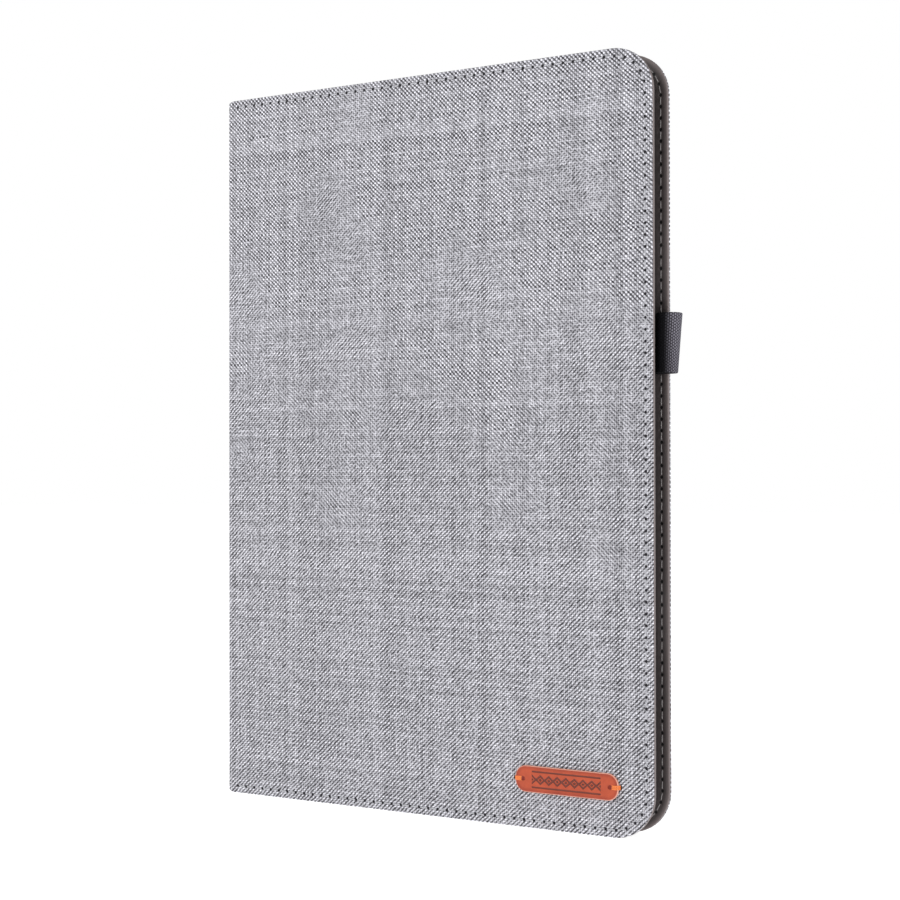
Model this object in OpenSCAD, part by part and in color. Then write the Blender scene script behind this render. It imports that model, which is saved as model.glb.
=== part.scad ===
// Tablet keyboard case: a fabric folio that stands on its short edge, closed, with the spine on
// the left (-X) and the opening edge on the right (+X). The front cover faces -Y and the rear
// cover faces +Y. A slim keyboard is fixed inside the front cover, a soft tray holds the tablet,
// and the outer half of the rear cover folds out as a stand.

/* [Case] */
// Height of the closed case, along Z
case_h = 256; // [240:1:270]
// Width from the spine's outer face to the opening edge, along X
case_w = 174; // [170:1:184]
// Radius of the two corners at the opening edge
corner_r = 14.5; // [10:0.5:18]

/* [Cover layers] */
// Thickness of the woven outer fabric
fabric_t = 0.6; // [0.5:0.05:0.9]
// Thickness of the stiffening board
board_t = 0.9; // [0.8:0.05:1.4]
// Thickness of the leather-look lining
lining_t = 0.5; // [0.45:0.05:0.8]
// Width of the lining's turned edge, outside the board
edge_w = 3.2; // [3:0.1:4]
// Distance from a cover's edge to its line of stitches
seam_inset = 2.6; // [2.2:0.1:3]

/* [Tray] */
// Length of the tablet that the tray holds, along Z
tablet_l = 245.5; // [230:0.5:246]
// Width of the tablet, along X
tablet_w = 160.5; // [150:0.5:161]
// Thickness of the tablet
tablet_t = 5.5; // [5.4:0.1:8]
// Wall thickness of the soft tray
tray_wall = 1.5; // [1.2:0.1:1.8]
// Floor thickness of the tray
tray_floor = 0.8; // [0.7:0.05:1.4]
// Thickness of the lip that laps over the tablet's face
tray_lip_t = 0.65; // [0.5:0.05:1]
// How far the lip laps over the tablet's face
tray_lip_w = 1.1; // [0.8:0.1:1.5]

/* [Keyboard] */
// Height of the keyboard's top plate above the lining
deck_h = 2.2; // [2.2:0.05:2.6]
// Thickness of the top plate
deck_t = 0.6; // [0.5:0.05:0.8]
// Distance between the middles of neighbouring keys
key_pitch = 15.8; // [15:0.1:15.9]
// Space between neighbouring key caps
key_gap = 2.2; // [1.8:0.1:3]
// Travel of a key, and its height above the top plate
key_travel = 0.75; // [0.6:0.05:0.9]
// Travel of the touchpad's click
pad_travel = 0.3; // [0.2:0.05:0.4]

/* [Label] */
// Length of the sewn leather label
label_l = 38.2; // [30:0.1:45]
// Width of the label
label_w = 8.8; // [7:0.1:12]
// Thickness of the label
label_t = 0.9; // [0.7:0.05:1.2]

/* [Pen loop] */
// Length of the elastic loop, along Z
loop_l = 19.5; // [15:0.5:25]
// How far the loop stands out past the opening edge
loop_out = 6.5; // [6:0.1:8]
// Depth of the loop, along Y
loop_d = 8.2; // [7.8:0.1:8.4]
// Thickness of the elastic band
band_t = 1; // [0.8:0.05:1.2]

/* [Hidden] */
$fn = 64;

// Thread of the seams
thread_w = 0.5;
thread_t = 0.2;

// Widths: the case and its loop are centred on x = 0
x_spine = -(case_w + loop_out - thread_t) / 2;
x_open = x_spine + case_w;

// Depths: y_front is the fabric's outer face, y_inner the lining's face inside the front cover
cover_t = fabric_t + board_t + lining_t;
rim_gap = 0.25;                         // keyboard to tray, closed
y_stack = cover_t + deck_h + rim_gap + tray_lip_t + tablet_t + tray_floor + cover_t;
y_front = -(y_stack + label_t + 2 * thread_t) / 2 + label_t + thread_t;
y_inner = y_front + cover_t;
y_rear = y_front + y_stack;
y_rim = y_inner + deck_h + rim_gap;
y_cavity = y_rim + tray_lip_t;
y_tray_floor = y_cavity + tablet_t;
y_tray_back = y_tray_floor + tray_floor;

// Creases: a cover's layers stop at crease_gap from the line that it folds about
crease_gap = 1.6;
fold_r = cover_t / 2;                   // the corner's radius, and the hinge line's depth
x_hinge = x_spine + fold_r;
y_hinge_front = y_front + fold_r;
y_hinge_rear = y_rear - fold_r;
x_panel = x_hinge + crease_gap;         // where the front and rear covers start
x_stand = x_spine + 88;                 // the line that the stand folds about
stand_gap = 1.3;                        // half the slot between the stand and the fixed half
seam_end = stand_gap + 0.6;             // where the seams stop, on both sides of that slot
stand_clear = 0.25;                     // stand's lining to the tray's back

// Tray
tray_x0 = x_spine + 6;
tray_x1 = tray_x0 + tablet_w + 2 * tray_wall;
tray_z0 = (case_h - tablet_l) / 2 - tray_wall;
tray_z1 = case_h - tray_z0;
tray_r = 9;
window_x = x_open - 22;                 // camera window's middle
window_z = case_h - 27;
window_w = 12;
window_h = 26;
port_w = 14;
port_h = 5.2;
keeper_l = 24;
keeper_x = 0.8;
keeper_y = 4;
keeper_z = [70, case_h - 70];
strip_x = x_stand + 40;
strip_w = 10;
strip_l = 100;
strip_t = 0.3;

// Keyboard
deck_x0 = x_spine + 10;
deck_x1 = x_open - 7.5;
deck_z0 = 6;
deck_z1 = case_h - 6;
deck_r = 7;
base_t = 0.4;
base_wall = 1;
sheet_t = 0.2;
dome_h = 0.2;
dome_r = 2.2;
key_bottom = deck_h - deck_t + 0.15;
key_clear = 0.35;
key_step = 0.5;                         // the cap's top is narrower than its skirt
key_left = case_h / 2 + 7.5 * key_pitch;
function_x = x_spine + 14;
function_pitch = 9.5;
pad_w = 46;
pad_l = 92;
pad_x = x_spine + 109;
pad_t = 0.65;
pad_clear = 0.3;
switch_travel = 2;
switch_l = 6;
switch_w = 2.4;
switch_x = pad_x + 34;
switch_z = 40;
light_r = 0.7;
contact_r = 1.4;

// Widths of the caps in each row, in key pitches, from the typist's left
row_function = [for (i = [1:14]) 15 / 14];
row_number = [for (i = [1:14]) i == 14 ? 2 : 1];
row_upper = [for (i = [1:14]) i == 1 || i == 14 ? 1.5 : 1];
row_home = [for (i = [1:13]) i == 1 ? 1.75 : i == 13 ? 2.25 : 1];
row_lower = [for (i = [1:12]) i == 1 ? 2.25 : i == 12 ? 2.75 : 1];
row_bottom = [1.25, 1.25, 1.25, 1.25, 5, 1, 1, 1, 1, 1];
rows = [row_function, row_number, row_upper, row_home, row_lower, row_bottom];

// Label: its middle, from the opening edge and from the bottom
label_x = x_open - 12.3 - label_l / 2;
label_z = 16.4;
tack_l = 3.2;
tack_w = 1;

// Pen loop
loop_z = 150.2;
loop_in = 2.1;
tab_in = 4.2;
y_loop = y_tray_back + stand_clear;

// A flat piece in the XZ plane, from y upwards through t
module slab(y, t) {
    translate([0, y + t, 0])
        rotate([90, 0, 0])
            linear_extrude(height = t)
                children();
}

// What is cut from a square corner to round it
module corner_cut(r) {
    difference() {
        translate([-1, -1]) square(r + 1);
        translate([r, r]) circle(r);
    }
}

// A rectangle with its left corners rounded to rl and its right corners to rr
module rounded(x0, x1, z0, z1, rl, rr) {
    difference() {
        translate([x0, z0]) square([x1 - x0, z1 - z0]);
        if (rl > 0) {
            translate([x0, z0]) corner_cut(rl);
            translate([x0, z1]) mirror([0, 1]) corner_cut(rl);
        }
        if (rr > 0) {
            translate([x1, z0]) mirror([1, 0]) corner_cut(rr);
            translate([x1, z1]) rotate(180) corner_cut(rr);
        }
    }
}

module disc(x, z, r) {
    translate([x, z]) circle(r);
}

module bar(x, z, w, l) {
    translate([x - w / 2, z - l / 2]) square([w, l]);
}

// A cover's outline from x0 to the opening edge, taken in by inset on its three free edges
module open_outline(x0, inset) {
    rounded(x0, x_open - inset, inset, case_h - inset, 0, corner_r - inset);
}

// The board's outline inside the turned edge
module open_board(x0) {
    rounded(x0 + edge_w, x_open - edge_w, edge_w, case_h - edge_w, 0.5, corner_r - edge_w);
}

// A line of stitches round the three free edges, running off at x0
module open_seam(x0) {
    intersection() {
        difference() {
            open_outline(x0 - 20, seam_inset - thread_w / 2);
            open_outline(x0 - 30, seam_inset + thread_w / 2);
        }
        translate([x0, 0]) square([case_w, case_h]);
    }
}

// Two short lines of stitches, along a strip's top and bottom edges
module strip_seams(x0, x1) {
    for (z = [seam_inset, case_h - seam_inset])
        bar((x0 + x1) / 2, z, x1 - x0, thread_w);
}

module camera_window(grow) {
    rounded(window_x - window_w / 2 - grow, window_x + window_w / 2 + grow,
            window_z - window_h / 2 - grow, window_z + window_h / 2 + grow,
            window_w / 2, window_w / 2);
}

// ---- Front cover ----

module magnet_bars() {
    for (z = keeper_z) bar(x_open - 9, z, 5, keeper_l);
}

module wake_disc() {
    disc(x_open - 30, case_h - 18, 4);
}

module front_cover_fabric() {
    color([0.68, 0.68, 0.70]) slab(y_front, fabric_t) open_outline(x_panel, 0);
}

module front_cover_board() {
    color([0.55, 0.52, 0.47])
        slab(y_front + fabric_t, board_t)
            difference() {
                open_board(x_panel);
                magnet_bars();
                wake_disc();
            }
}

module front_cover_lining() {
    color([0.20, 0.17, 0.17])
        difference() {
            slab(y_front + fabric_t, board_t + lining_t) open_outline(x_panel, 0);
            slab(y_front + fabric_t, board_t) open_board(x_panel);
        }
}

module front_cover_stitching() {
    color([0.35, 0.35, 0.37]) {
        slab(y_front - thread_t, thread_t) open_seam(x_panel);
        slab(y_inner, thread_t) open_seam(x_panel);
    }
}

module closure_magnets() {
    color("silver") slab(y_front + fabric_t, board_t) magnet_bars();
}

module wake_magnet() {
    color("silver") slab(y_front + fabric_t, board_t) wake_disc();
}

module tack_holes() {
    for (s = [-1, 1])
        bar(label_x + s * (label_l / 2 - tack_l), label_z, 0.8, tack_w);
}

module label() {
    color([0.72, 0.37, 0.27])
        slab(y_front - label_t, label_t)
            difference() {
                rounded(label_x - label_l / 2, label_x + label_l / 2,
                        label_z - label_w / 2, label_z + label_w / 2, 3.9, 3.9);
                tack_holes();
            }
}

// One bar tack at each end, from a hole in the label over its end
module label_tacks() {
    color([0.88, 0.36, 0.16])
        for (s = [-1, 1]) {
            end = label_x + s * label_l / 2;
            slab(y_front - label_t - thread_t, thread_t)
                bar(end - s * (tack_l - 0.4) / 2, label_z, tack_l + 0.4, tack_w);
            slab(y_front - label_t, label_t) bar(end + s * 0.4, label_z, 0.8, tack_w);
            slab(y_front - label_t, label_t)
                bar(end - s * tack_l, label_z, 0.8, tack_w);
        }
}

// ---- Keyboard ----

function start(ws, i) = i == 0 ? 0 : start(ws, i - 1) + ws[i - 1];
function row_x(r) = r == 0 ? function_x : function_x + function_pitch + (r - 1) * key_pitch;
function row_depth(r) = r == 0 ? function_pitch : key_pitch;
function last(r) = len(rows[r]) - 1;

// The outline of key i of row r, grown on each side
module key_outline(r, i, grow) {
    z1 = key_left - start(rows[r], i) * key_pitch - key_gap / 2 + grow;
    l = rows[r][i] * key_pitch - key_gap + 2 * grow;
    translate([row_x(r) + key_gap / 2 - grow, z1 - l])
        square([row_depth(r) - key_gap + 2 * grow, l]);
}

module key_cap(r, i) {
    skirt = deck_h - key_bottom;
    slab(y_inner + key_bottom, skirt) key_outline(r, i, 0);
    slab(y_inner + key_bottom + skirt, key_travel) key_outline(r, i, -key_step);
}

module key_set(r, list) {
    color([0.13, 0.13, 0.14]) for (i = list) key_cap(r, i);
}

module keys_function() { key_set(0, [0:last(0)]); }
module keys_number() { key_set(1, [0:last(1) - 1]); }
module keys_upper() { key_set(2, [1:last(2)]); }
module keys_home() { key_set(3, [1:last(3) - 1]); }
module keys_lower() { key_set(4, [1:last(4) - 1]); }
module keys_bottom() { key_set(5, [0, 1, 2, 3, 5, 6, 7, 8, 9]); }
module key_backspace() { key_set(1, [last(1)]); }
module key_tab() { key_set(2, [0]); }
module key_caps_lock() { key_set(3, [0]); }
module key_enter() { key_set(3, [last(3)]); }
module key_shift_left() { key_set(4, [0]); }
module key_shift_right() { key_set(4, [last(4)]); }
module key_space() { key_set(5, [4]); }

module deck_outline(inset) {
    rounded(deck_x0 + inset, deck_x1 - inset, deck_z0 + inset, deck_z1 - inset,
            deck_r - inset, deck_r - inset);
}

module pad_outline(grow) {
    translate([pad_x - grow, case_h / 2 - pad_l / 2 - grow])
        square([pad_w + 2 * grow, pad_l + 2 * grow]);
}

module light_discs() {
    for (i = [0:2]) disc(switch_x - 8, switch_z - 6 + 6 * i, light_r);
}

module contact_discs() {
    for (i = [0:3]) disc(deck_x1 - 5, 200 + 4.2 * i, contact_r);
}

// The slot that the power switch slides in, from off at its lower end to on
module switch_slot() {
    bar(switch_x, switch_z + switch_travel / 2, switch_w + 0.4, switch_l + switch_travel + 0.4);
}

module keyboard_base() {
    color([0.16, 0.16, 0.17])
        difference() {
            slab(y_inner, deck_h - deck_t) deck_outline(0);
            slab(y_inner + base_t, deck_h) deck_outline(base_wall);
        }
}

module keyboard_deck() {
    color([0.22, 0.22, 0.24])
        slab(y_inner + deck_h - deck_t, deck_t)
            difference() {
                deck_outline(0);
                for (r = [0:len(rows) - 1])
                    for (i = [0:last(r)]) key_outline(r, i, key_clear);
                pad_outline(pad_clear);
                light_discs();
                contact_discs();
                switch_slot();
            }
}

module key_field(inset) {
    translate([function_x - 1 + inset, deck_z0 + 2 + inset])
        square([function_pitch + 5 * key_pitch + 2 - 2 * inset, deck_z1 - deck_z0 - 4 - 2 * inset]);
}

module key_membrane() {
    color([0.80, 0.80, 0.72]) slab(y_inner + base_t, sheet_t) key_field(0);
}

// One silicone sheet with a low dome under each key
module dome_sheet() {
    color([0.85, 0.86, 0.88]) {
        slab(y_inner + base_t + sheet_t, 0.1) key_field(0.5);
        slab(y_inner + base_t + sheet_t, 0.1 + dome_h)
            for (r = [0:len(rows) - 1])
                for (i = [0:last(r)])
                    disc(row_x(r) + row_depth(r) / 2,
                         key_left - (start(rows[r], i) + rows[r][i] / 2) * key_pitch, dome_r);
    }
}

module battery() {
    color([0.75, 0.76, 0.78])
        slab(y_inner + base_t, 1.1) translate([pad_x + 1, 180]) square([40, 60]);
}

module controller_board() {
    color([0.10, 0.35, 0.20])
        slab(y_inner + base_t, 0.8) translate([pad_x + 1, 16]) square([44, 52]);
}

module charging_contacts() {
    color("gold") slab(y_inner + deck_h - deck_t, deck_t + 0.1) contact_discs();
}

module status_lights() {
    color([0.85, 0.95, 0.88]) slab(y_inner + deck_h - deck_t, deck_t) light_discs();
}

// The slider stands out of its slot far enough for a fingernail
module power_switch() {
    color([0.30, 0.30, 0.32])
        slab(y_inner + deck_h - deck_t, deck_t + 0.3) bar(switch_x, switch_z, switch_w, switch_l);
}

module touchpad() {
    color([0.18, 0.18, 0.20]) slab(y_inner + deck_h - 0.05 - pad_t, pad_t) pad_outline(0);
}

// ---- Creases and spine ----

// The layer of a covering between a and b millimetres under its surface, round a square corner
// of the closed case. It is drawn at the front and mirrored for the rear.
module corner_wrap(a, b) {
    linear_extrude(height = case_h)
        intersection() {
            difference() {
                corner_blank(a);
                corner_blank(b);
            }
            translate([x_spine, y_front])
                square([fold_r + crease_gap, fold_r + crease_gap]);
        }
}

module corner_blank(inset) {
    r = max(fold_r - inset, 0);
    translate([x_spine + inset, y_front + inset])
        difference() {
            square(30);
            if (r > 0) corner_cut(r);
        }
}

module at_rear() {
    translate([0, y_front + y_rear, 0]) mirror([0, 1, 0]) children();
}

module crease_front_fabric() {
    color([0.68, 0.68, 0.70]) corner_wrap(0, fabric_t);
}

module crease_front_lining() {
    color([0.20, 0.17, 0.17]) corner_wrap(cover_t - lining_t, cover_t);
}

module crease_rear_fabric() {
    color([0.68, 0.68, 0.70]) at_rear() corner_wrap(0, fabric_t);
}

module crease_rear_lining() {
    color([0.20, 0.17, 0.17]) at_rear() corner_wrap(cover_t - lining_t, cover_t);
}

// A flat piece of the spine in the YZ plane, from depth a to b under its outer face
module spine_slab(a, b, inset) {
    y0 = y_hinge_front + crease_gap + inset;
    y1 = y_hinge_rear - crease_gap - inset;
    translate([x_spine + a, y0, inset]) cube([b - a, y1 - y0, case_h - 2 * inset]);
}

module spine_fabric() {
    color([0.68, 0.68, 0.70]) spine_slab(0, fabric_t, 0);
}

module spine_board() {
    color([0.55, 0.52, 0.47]) spine_slab(fabric_t, fabric_t + board_t, 1.2);
}

module spine_lining() {
    color([0.20, 0.17, 0.17])
        difference() {
            spine_slab(fabric_t, cover_t, 0);
            spine_slab(fabric_t, fabric_t + board_t, 1.2);
        }
}

module spine_stitching() {
    y0 = y_hinge_front + crease_gap;
    l = y_hinge_rear - crease_gap - y0;
    color([0.35, 0.35, 0.37])
        for (z = [seam_inset, case_h - seam_inset], x = [x_spine - thread_t, x_spine + cover_t])
            translate([x, y0, z - thread_w / 2]) cube([thread_t, l, thread_w]);
}

// ---- Rear cover: the fixed half, with the tray ----

module fixed_half(inset) {
    translate([x_panel + inset, inset])
        square([x_stand - stand_gap - x_panel - 2 * inset, case_h - 2 * inset]);
}

module rear_cover_fabric() {
    color([0.68, 0.68, 0.70]) slab(y_rear - fabric_t, fabric_t) fixed_half(0);
}

module rear_cover_board() {
    color([0.55, 0.52, 0.47]) slab(y_rear - fabric_t - board_t, board_t) fixed_half(edge_w);
}

module rear_cover_lining() {
    color([0.20, 0.17, 0.17])
        difference() {
            slab(y_tray_back, board_t + lining_t) fixed_half(0);
            slab(y_tray_back + lining_t, board_t + 1) fixed_half(edge_w);
        }
}

module rear_cover_stitching() {
    color([0.35, 0.35, 0.37]) {
        slab(y_rear, thread_t) strip_seams(x_panel, x_stand - seam_end);
        slab(y_tray_back - thread_t, thread_t) strip_seams(x_panel, x_stand - seam_end);
    }
}

module tray_outline(inset) {
    rounded(tray_x0 + inset, tray_x1 - inset, tray_z0 + inset, tray_z1 - inset,
            tray_r - inset, tray_r - inset);
}

// Slots through the tray's walls, for the tablet's socket, speakers and side buttons
module tray_ports() {
    middle = (tray_x0 + tray_x1) / 2;
    slot_h = 3.4;
    y = y_cavity + (tablet_t - slot_h) / 2;
    for (z = [tray_z0 - 1, tray_z1 - tray_wall - 1], s = [-1, 1])
        translate([middle + s * 48 - 11, y, z]) cube([22, slot_h, tray_wall + 2]);
    translate([middle - port_w / 2, y_cavity + (tablet_t - port_h) / 2, tray_z0 - 1])
        cube([port_w, port_h, tray_wall + 2]);
    translate([tray_x1 - tray_wall - 1, y, 203]) cube([tray_wall + 2, slot_h, 34]);
}

module keepers() {
    for (z = keeper_z)
        translate([tray_x1 - keeper_x, y_cavity + 1, z - keeper_l / 2])
            cube([keeper_x, keeper_y, keeper_l]);
}

module steel_strip() {
    slab(y_tray_back - strip_t, strip_t) bar(strip_x, case_h / 2, strip_w, strip_l);
}

module tray() {
    color([0.15, 0.14, 0.14])
        difference() {
            slab(y_rim, y_tray_back - y_rim) tray_outline(0);
            slab(y_cavity, tablet_t) tray_outline(tray_wall);
            slab(y_rim - 1, tray_lip_t + 2) tray_outline(tray_wall + tray_lip_w);
            slab(y_tray_floor - 1, tray_floor + 2) camera_window(1);
            tray_ports();
            keepers();
            steel_strip();
        }
}

module tray_keepers() {
    color("silver") keepers();
}

module tray_steel_strip() {
    color("silver") steel_strip();
}

// ---- Rear cover: the half that folds out as a stand ----

stand_x0 = x_stand + stand_gap;
stand_lining_t = lining_t - stand_clear;

module crease_stand_fabric() {
    color([0.68, 0.68, 0.70])
        slab(y_rear - fabric_t, fabric_t) bar(x_stand, case_h / 2, 2 * stand_gap, case_h);
}

module crease_stand_lining() {
    color([0.20, 0.17, 0.17])
        slab(y_loop, stand_lining_t) bar(x_stand, case_h / 2, 2 * stand_gap, case_h);
}

module stand_fabric() {
    color([0.68, 0.68, 0.70])
        slab(y_rear - fabric_t, fabric_t)
            difference() {
                open_outline(stand_x0, 0);
                camera_window(0);
            }
}

module stand_pocket() {
    difference() {
        open_board(stand_x0);
        camera_window(edge_w);
    }
}

module stand_discs() {
    for (i = [-1.5:1:1.5]) disc(strip_x, case_h / 2 + 25 * i, 4);
}

module stand_board() {
    color([0.55, 0.52, 0.47])
        slab(y_rear - fabric_t - board_t, board_t)
            difference() {
                stand_pocket();
                stand_discs();
            }
}

module stand_lining() {
    color([0.20, 0.17, 0.17])
        difference() {
            slab(y_loop, stand_lining_t + board_t)
                difference() {
                    open_outline(stand_x0, 0);
                    camera_window(0);
                }
            slab(y_rear - fabric_t - board_t, board_t + 1) stand_pocket();
        }
}

module stand_stitching() {
    color([0.35, 0.35, 0.37]) {
        slab(y_rear, thread_t) open_seam(x_stand + seam_end);
        slab(y_loop - thread_t, thread_t)
            difference() {
                open_seam(x_stand + seam_end);
                bar(x_open, loop_z + loop_l / 2, 2 * tab_in, loop_l + 0.6);
            }
    }
}

module stand_magnets() {
    color("silver") slab(y_rear - fabric_t - board_t, board_t) stand_discs();
}

// A loop of elastic band, its ends glued to the stand's lining at the opening edge
module pen_loop() {
    color([0.17, 0.17, 0.21])
        translate([0, 0, loop_z])
            linear_extrude(height = loop_l) {
                difference() {
                    loop_profile(0);
                    loop_profile(band_t);
                }
                translate([x_open - tab_in, y_loop - band_t]) square([tab_in + 2, band_t]);
            }
}

module loop_profile(inset) {
    rounded(x_open - loop_in + inset, x_open + loop_out - inset,
            y_loop - loop_d + inset, y_loop - inset, 3.8 - inset, 3.8 - inset);
}

front_cover_fabric();
front_cover_board();
front_cover_lining();
front_cover_stitching();
label();
label_tacks();
closure_magnets();
wake_magnet();
keyboard_base();
keyboard_deck();
key_membrane();
dome_sheet();
battery();
controller_board();
charging_contacts();
status_lights();
power_switch();
touchpad();
keys_function();
keys_number();
keys_upper();
keys_home();
keys_lower();
keys_bottom();
key_backspace();
key_tab();
key_caps_lock();
key_enter();
key_shift_left();
key_shift_right();
key_space();
crease_front_fabric();
crease_front_lining();
spine_fabric();
spine_board();
spine_lining();
spine_stitching();
crease_rear_fabric();
crease_rear_lining();
rear_cover_fabric();
rear_cover_board();
rear_cover_lining();
rear_cover_stitching();
tray();
tray_keepers();
tray_steel_strip();
crease_stand_fabric();
crease_stand_lining();
stand_fabric();
stand_board();
stand_lining();
stand_stitching();
stand_magnets();
pen_loop();
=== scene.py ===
# %% [markdown]
# # A tablet keyboard case covered in woven cloth
# The case stands closed on its short edge. Two stiff covers and a spine are wrapped in one piece
# of melange cloth, lined with dark leather-look sheet and sewn round the free edges. A soft tray
# for the tablet, a slim keyboard and a fold-out stand are inside. The CAD model fixes every size
# and every joint; this lesson builds what the eye sees on top of it. Lengths are in millimetres
# until a mesh is made, because that is how a case maker thinks about them.

import math

import bmesh
import bpy
import numpy as np
from mathutils import Matrix, Vector


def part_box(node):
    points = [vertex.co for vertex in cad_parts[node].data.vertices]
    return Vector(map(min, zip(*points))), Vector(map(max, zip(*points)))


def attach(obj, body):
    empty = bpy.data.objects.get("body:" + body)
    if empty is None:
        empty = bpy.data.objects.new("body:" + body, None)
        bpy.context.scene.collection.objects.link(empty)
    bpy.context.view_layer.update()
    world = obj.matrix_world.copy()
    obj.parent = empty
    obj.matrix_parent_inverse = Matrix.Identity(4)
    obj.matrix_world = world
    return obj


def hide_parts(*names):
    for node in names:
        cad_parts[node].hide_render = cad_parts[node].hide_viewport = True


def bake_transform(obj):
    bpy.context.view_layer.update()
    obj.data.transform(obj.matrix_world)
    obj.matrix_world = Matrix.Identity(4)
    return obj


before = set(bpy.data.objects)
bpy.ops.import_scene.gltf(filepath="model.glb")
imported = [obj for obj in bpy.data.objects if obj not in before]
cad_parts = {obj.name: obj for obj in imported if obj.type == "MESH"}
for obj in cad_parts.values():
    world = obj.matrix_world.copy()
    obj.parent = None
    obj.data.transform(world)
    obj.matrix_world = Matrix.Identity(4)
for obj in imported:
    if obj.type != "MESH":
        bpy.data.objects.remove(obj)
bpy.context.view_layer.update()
MM = 0.001


def low(node):
    """The lowest corner of a CAD node, in millimetres."""
    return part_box(node)[0] / MM


def high(node):
    """The highest corner of a CAD node, in millimetres."""
    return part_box(node)[1] / MM


# %% [markdown]
# ## Where things are
# Every place comes from the CAD nodes. X runs from the spine to the opening edge, Y from the
# front cover to the rear cover, and Z is up. Only radii and layer details, which a box can't
# tell, are written here as numbers.

# %% Main places and layer sizes
HEIGHT = high("front_cover_fabric").z
X_SPINE = low("spine_fabric").x
X_OPEN = high("front_cover_fabric").x
X_PANEL = low("front_cover_fabric").x
X_FIXED_END = high("rear_cover_fabric").x
X_STAND = low("stand_fabric").x
Y_FRONT = low("front_cover_fabric").y
Y_REAR = high("rear_cover_fabric").y
Y_SPINE_FRONT = low("spine_fabric").y
Y_SPINE_REAR = high("spine_fabric").y

CORNER_R = 14.5          # the covers' corners at the opening edge
FABRIC_T = high("front_cover_fabric").y - Y_FRONT
COVER_T = high("front_cover_lining").y - Y_FRONT
STAND_T = Y_REAR - low("stand_lining").y
BOARD_DEPTH = high("front_cover_board").y - Y_FRONT
EDGE_W = 3.2             # the lining's band round the board
FOLD_R = COVER_T / 2     # the cloth's outside radius where it turns onto the spine
SEAM_INSET = 2.6         # from a cover's edge to its stitches
STITCH_PITCH = 3.8       # from one needle hole to the next
LABEL = (low("label").x, high("label").x, low("label").z, high("label").z)
LABEL_X, LABEL_Z = (LABEL[0] + LABEL[1]) / 2, (LABEL[2] + LABEL[3]) / 2
LABEL_HALF = (LABEL[1] - LABEL[0]) / 2

print("height", HEIGHT, "width", X_OPEN - X_SPINE, "thickness", Y_REAR - Y_FRONT)

# %% [markdown]
# ## From points to a mesh
# All the sheet pieces are made from rows of points, so one helper turns points in millimetres
# into an object in metres. It also stores the maps that the materials read: "Weave" says where a
# point lies on the flat cloth, and "Seam" says how many stitches along the seam it is and how
# far in from the edge.


# %% Mesh helper
def mesh_piece(name, points, faces, finish=None, weave=None, seam=None):
    """An object at the origin whose points are given in millimetres."""
    mesh = bpy.data.meshes.new(name)
    mesh.from_pydata([Vector(p) * MM for p in points], [], faces)
    mesh.validate()
    for layer, values in (("Weave", weave), ("Seam", seam)):
        if values is not None:
            corners = mesh.uv_layers.new(name=layer).data
            for loop in mesh.loops:
                corners[loop.index].uv = values[loop.vertex_index]
    for face in mesh.polygons:
        face.use_smooth = True
    if finish:
        mesh.materials.append(finish)
    piece = bpy.data.objects.new(name, mesh)
    bpy.context.scene.collection.objects.link(piece)
    return piece


def bridge(rows, count, closed=False, ring=False):
    """Quads between rows of count points. closed joins the last row to the first, ring each row's
    last point to its first."""
    faces = []
    for r in range(rows - 1 + closed):
        a = r * count
        b = (r + 1) % rows * count
        for i in range(count - 1 + ring):
            j = (i + 1) % count
            faces.append((a + i, a + j, b + j, b + i))
    return faces


def outward(piece, sharp=50):
    """Turns a closed mesh's faces outwards and keeps the edges crisp that turn more than sharp."""
    shell = bmesh.new()
    shell.from_mesh(piece.data)
    bmesh.ops.recalc_face_normals(shell, faces=shell.faces)
    shell.to_mesh(piece.data)
    shell.free()
    piece.data.set_sharp_from_angle(angle=math.radians(sharp))
    return piece


def settle(piece):
    """Replaces an object's mesh by its evaluated one and removes its modifiers."""
    depsgraph = bpy.context.evaluated_depsgraph_get()
    made = bpy.data.meshes.new_from_object(piece.evaluated_get(depsgraph))
    made.name = piece.name
    piece.modifiers.clear()
    piece.data = made
    return piece


print("a closed strip of 3 rows of 4 points has", len(bridge(3, 4, closed=True)), "faces")

# %% [markdown]
# ## Shader maths as plain expressions
# A woven pattern is arithmetic: which thread, which way it runs, how high it stands. Writing that
# as dozens of linked Math nodes is hard to read, so one small class wraps a socket and lets
# Python operators add the nodes.


# %% Value: a socket that takes part in sums
class Value:
    """A shader socket that adds Math nodes when it is used in an expression."""

    def __init__(self, tree, socket):
        self.tree = tree
        self.socket = socket

    def maths(self, operation, *others):
        node = self.tree.nodes.new("ShaderNodeMath")
        node.operation = operation
        for place, value in zip(node.inputs, (self, *others)):
            if isinstance(value, Value):
                self.tree.links.new(value.socket, place)
            else:
                place.default_value = value
        return Value(self.tree, node.outputs[0])

    def __add__(self, other):
        return self.maths("ADD", other)

    def __sub__(self, other):
        return self.maths("SUBTRACT", other)

    def __rsub__(self, other):
        return self.maths("MULTIPLY", -1.0).maths("ADD", other)

    def __mul__(self, other):
        return self.maths("MULTIPLY", other)

    def __truediv__(self, other):
        return self.maths("DIVIDE", other)

    def __mod__(self, other):
        return self.maths("FLOORED_MODULO", other)

    __radd__ = __add__
    __rmul__ = __mul__

    def floor(self):
        return self.maths("FLOOR")

    def size(self):
        return self.maths("ABSOLUTE")

    def most(self, other):
        return self.maths("MAXIMUM", other)

    def step(self, start, end):
        """0 before start and 1 after end, smoothly between; start may be the larger."""
        node = self.tree.nodes.new("ShaderNodeMapRange")
        node.interpolation_type = "SMOOTHSTEP"
        self.tree.links.new(self.socket, node.inputs["Value"])
        node.inputs["From Min"].default_value = min(start, end)
        node.inputs["From Max"].default_value = max(start, end)
        result = Value(self.tree, node.outputs["Result"])
        return result if start < end else 1 - result


print("a socket can do:", ", ".join(name for name in vars(Value) if not name.startswith("_")))

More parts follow.
